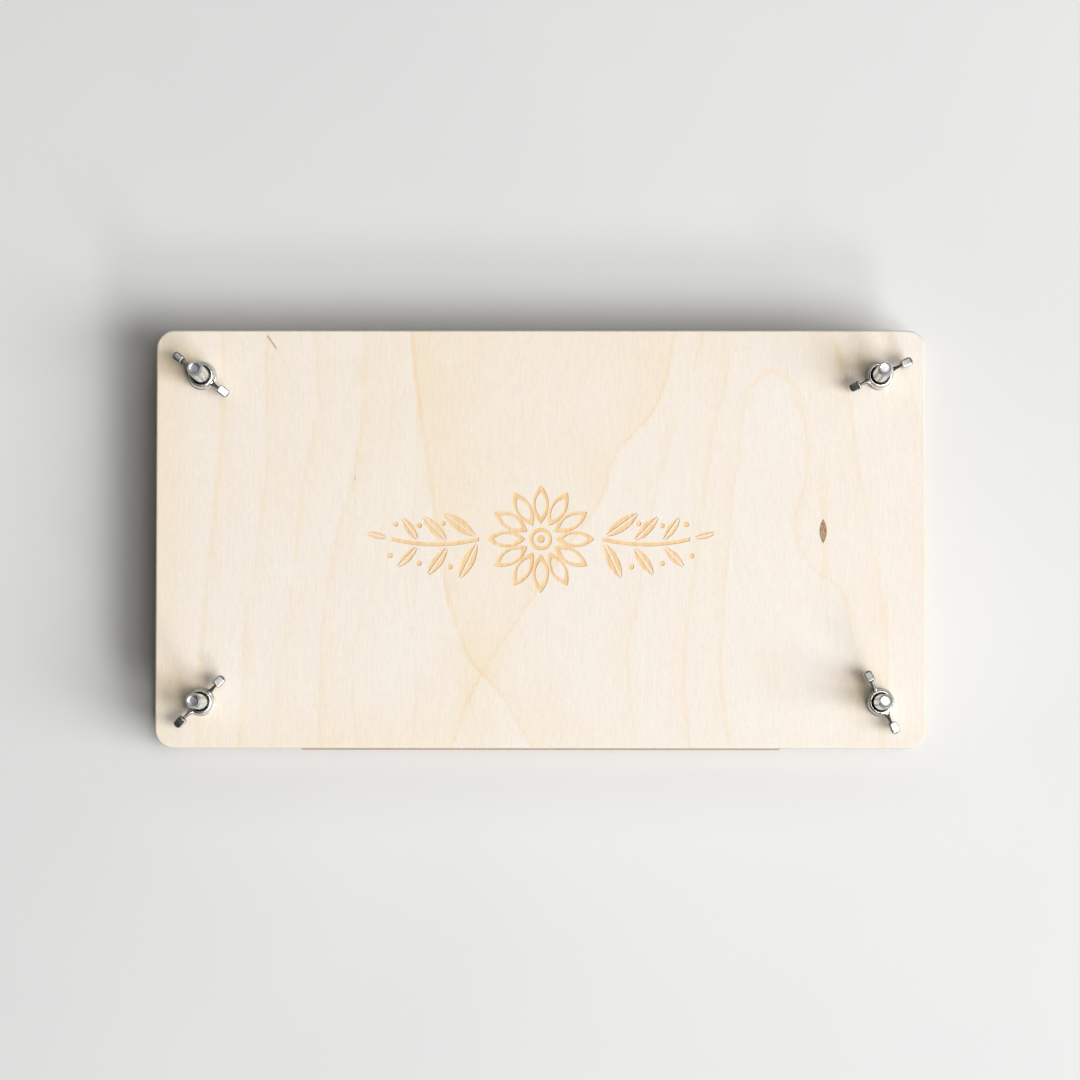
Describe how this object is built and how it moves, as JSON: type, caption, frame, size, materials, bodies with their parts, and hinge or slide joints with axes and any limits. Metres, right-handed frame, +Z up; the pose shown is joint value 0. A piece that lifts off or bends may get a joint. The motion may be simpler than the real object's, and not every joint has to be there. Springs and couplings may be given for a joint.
{
  "type": "flower press",
  "caption": "Oblong flower press: two plywood boards squeeze card and blotting paper, drawn together by corner bolts and wing nuts, with an engraved daisy and sprigs.",
  "frame": {"origin": "on the underside of the lower board, at its middle, level with the surface that the press stands on", "axes": "+X along the boards to the right, +Y from the front edge to the back edge, +Z up along the bolts, out of the engraved face"},
  "size_m": [0.3, 0.1642, 0.0793],
  "materials": {
    "plywood": "sanded, unvarnished birch plywood, engraving scorched to a light tan",
    "bolt_steel": "bright zinc-plated, rolled thread",
    "washer_zinc": "zinc-plated, stamped",
    "wing_nut_zinc": "zinc-plated casting, slightly rough",
    "corrugated_card": "matt brown kraft, open flutes at the edges",
    "blotting_paper": "matt, thick and absorbent"
  },
  "bodies": {
    "base": {"bottom_board": "plywood", "bolt_back_left": "bolt_steel", "bolt_back_right": "bolt_steel", "bolt_front_left": "bolt_steel", "bolt_front_right": "bolt_steel"},
    "top_board": {"top_board": "plywood", "washer_back_left": "washer_zinc", "washer_back_right": "washer_zinc", "washer_front_left": "washer_zinc", "washer_front_right": "washer_zinc"},
    "wing_nut_back_left": {"wing_nut_back_left": "wing_nut_zinc"},
    "wing_nut_back_right": {"wing_nut_back_right": "wing_nut_zinc"},
    "wing_nut_front_left": {"wing_nut_front_left": "wing_nut_zinc"},
    "wing_nut_front_right": {"wing_nut_front_right": "wing_nut_zinc"},
    "card_1": {"card_1": "corrugated_card"},
    "blotter_1": {"blotter_1": "blotting_paper"},
    "blotter_2": {"blotter_2": "blotting_paper"},
    "card_2": {"card_2": "corrugated_card"},
    "blotter_3": {"blotter_3": "blotting_paper"},
    "blotter_4": {"blotter_4": "blotting_paper"},
    "card_3": {"card_3": "corrugated_card"},
    "blotter_5": {"blotter_5": "blotting_paper"},
    "blotter_6": {"blotter_6": "blotting_paper"},
    "card_4": {"card_4": "corrugated_card"},
    "blotter_7": {"blotter_7": "blotting_paper"},
    "blotter_8": {"blotter_8": "blotting_paper"},
    "card_5": {"card_5": "corrugated_card"},
    "blotter_9": {"blotter_9": "blotting_paper"},
    "blotter_10": {"blotter_10": "blotting_paper"},
    "card_6": {"card_6": "corrugated_card"}
  },
  "joints": [
    {"name": "top_board_lift", "type": "slide", "parent": "base", "child": "top_board", "axis": [0, 0, 1], "range_m": [0, 0.05]},
    {"name": "wing_nut_back_left_turn", "type": "hinge", "parent": "top_board", "child": "wing_nut_back_left", "pos_m": [-0.132, 0.0635, 0.0426], "axis": [0, 0, 1], "range_deg": [0, 18000]},
    {"name": "wing_nut_back_right_turn", "type": "hinge", "parent": "top_board", "child": "wing_nut_back_right", "pos_m": [0.132, 0.0635, 0.0426], "axis": [0, 0, 1], "range_deg": [0, 18000]},
    {"name": "wing_nut_front_left_turn", "type": "hinge", "parent": "top_board", "child": "wing_nut_front_left", "pos_m": [-0.132, -0.0635, 0.0426], "axis": [0, 0, 1], "range_deg": [0, 18000]},
    {"name": "wing_nut_front_right_turn", "type": "hinge", "parent": "top_board", "child": "wing_nut_front_right", "pos_m": [0.132, -0.0635, 0.0426], "axis": [0, 0, 1], "range_deg": [0, 18000]},
    {"name": "card_1_lift", "type": "slide", "parent": "base", "child": "card_1", "axis": [0, 0, 1], "range_m": [0, 0.0005]},
    {"name": "blotter_1_lift", "type": "slide", "parent": "base", "child": "blotter_1", "axis": [0, 0, 1], "range_m": [0, 0.001]},
    {"name": "blotter_2_lift", "type": "slide", "parent": "base", "child": "blotter_2", "axis": [0, 0, 1], "range_m": [0, 0.0098]},
    {"name": "card_2_lift", "type": "slide", "parent": "base", "child": "card_2", "axis": [0, 0, 1], "range_m": [0, 0.0103]},
    {"name": "blotter_3_lift", "type": "slide", "parent": "base", "child": "blotter_3", "axis": [0, 0, 1], "range_m": [0, 0.0108]},
    {"name": "blotter_4_lift", "type": "slide", "parent": "base", "child": "blotter_4", "axis": [0, 0, 1], "range_m": [0, 0.0196]},
    {"name": "card_3_lift", "type": "slide", "parent": "base", "child": "card_3", "axis": [0, 0, 1], "range_m": [0, 0.0201]},
    {"name": "blotter_5_lift", "type": "slide", "parent": "base", "child": "blotter_5", "axis": [0, 0, 1], "range_m": [0, 0.0206]},
    {"name": "blotter_6_lift", "type": "slide", "parent": "base", "child": "blotter_6", "axis": [0, 0, 1], "range_m": [0, 0.0294]},
    {"name": "card_4_lift", "type": "slide", "parent": "base", "child": "card_4", "axis": [0, 0, 1], "range_m": [0, 0.0299]},
    {"name": "blotter_7_lift", "type": "slide", "parent": "base", "child": "blotter_7", "axis": [0, 0, 1], "range_m": [0, 0.0304]},
    {"name": "blotter_8_lift", "type": "slide", "parent": "base", "child": "blotter_8", "axis": [0, 0, 1], "range_m": [0, 0.0392]},
    {"name": "card_5_lift", "type": "slide", "parent": "base", "child": "card_5", "axis": [0, 0, 1], "range_m": [0, 0.0397]},
    {"name": "blotter_9_lift", "type": "slide", "parent": "base", "child": "blotter_9", "axis": [0, 0, 1], "range_m": [0, 0.0402]},
    {"name": "blotter_10_lift", "type": "slide", "parent": "base", "child": "blotter_10", "axis": [0, 0, 1], "range_m": [0, 0.049]},
    {"name": "card_6_lift", "type": "slide", "parent": "base", "child": "card_6", "axis": [0, 0, 1], "range_m": [0, 0.0495]}
  ],
  "couplings": [
    {"joint": "wing_nut_back_left_turn", "follows": "top_board_lift", "rad_per_m": 6283.2},
    {"joint": "wing_nut_back_right_turn", "follows": "top_board_lift", "rad_per_m": 6283.2},
    {"joint": "wing_nut_front_left_turn", "follows": "top_board_lift", "rad_per_m": 6283.2},
    {"joint": "wing_nut_front_right_turn", "follows": "top_board_lift", "rad_per_m": 6283.2},
    {"joint": "card_1_lift", "follows": "top_board_lift", "ratio": 0.01},
    {"joint": "blotter_1_lift", "follows": "top_board_lift", "ratio": 0.02},
    {"joint": "blotter_2_lift", "follows": "top_board_lift", "ratio": 0.196},
    {"joint": "card_2_lift", "follows": "top_board_lift", "ratio": 0.206},
    {"joint": "blotter_3_lift", "follows": "top_board_lift", "ratio": 0.216},
    {"joint": "blotter_4_lift", "follows": "top_board_lift", "ratio": 0.392},
    {"joint": "card_3_lift", "follows": "top_board_lift", "ratio": 0.402},
    {"joint": "blotter_5_lift", "follows": "top_board_lift", "ratio": 0.412},
    {"joint": "blotter_6_lift", "follows": "top_board_lift", "ratio": 0.588},
    {"joint": "card_4_lift", "follows": "top_board_lift", "ratio": 0.598},
    {"joint": "blotter_7_lift", "follows": "top_board_lift", "ratio": 0.608},
    {"joint": "blotter_8_lift", "follows": "top_board_lift", "ratio": 0.784},
    {"joint": "card_5_lift", "follows": "top_board_lift", "ratio": 0.794},
    {"joint": "blotter_9_lift", "follows": "top_board_lift", "ratio": 0.804},
    {"joint": "blotter_10_lift", "follows": "top_board_lift", "ratio": 0.98},
    {"joint": "card_6_lift", "follows": "top_board_lift", "ratio": 0.99}
  ]
}
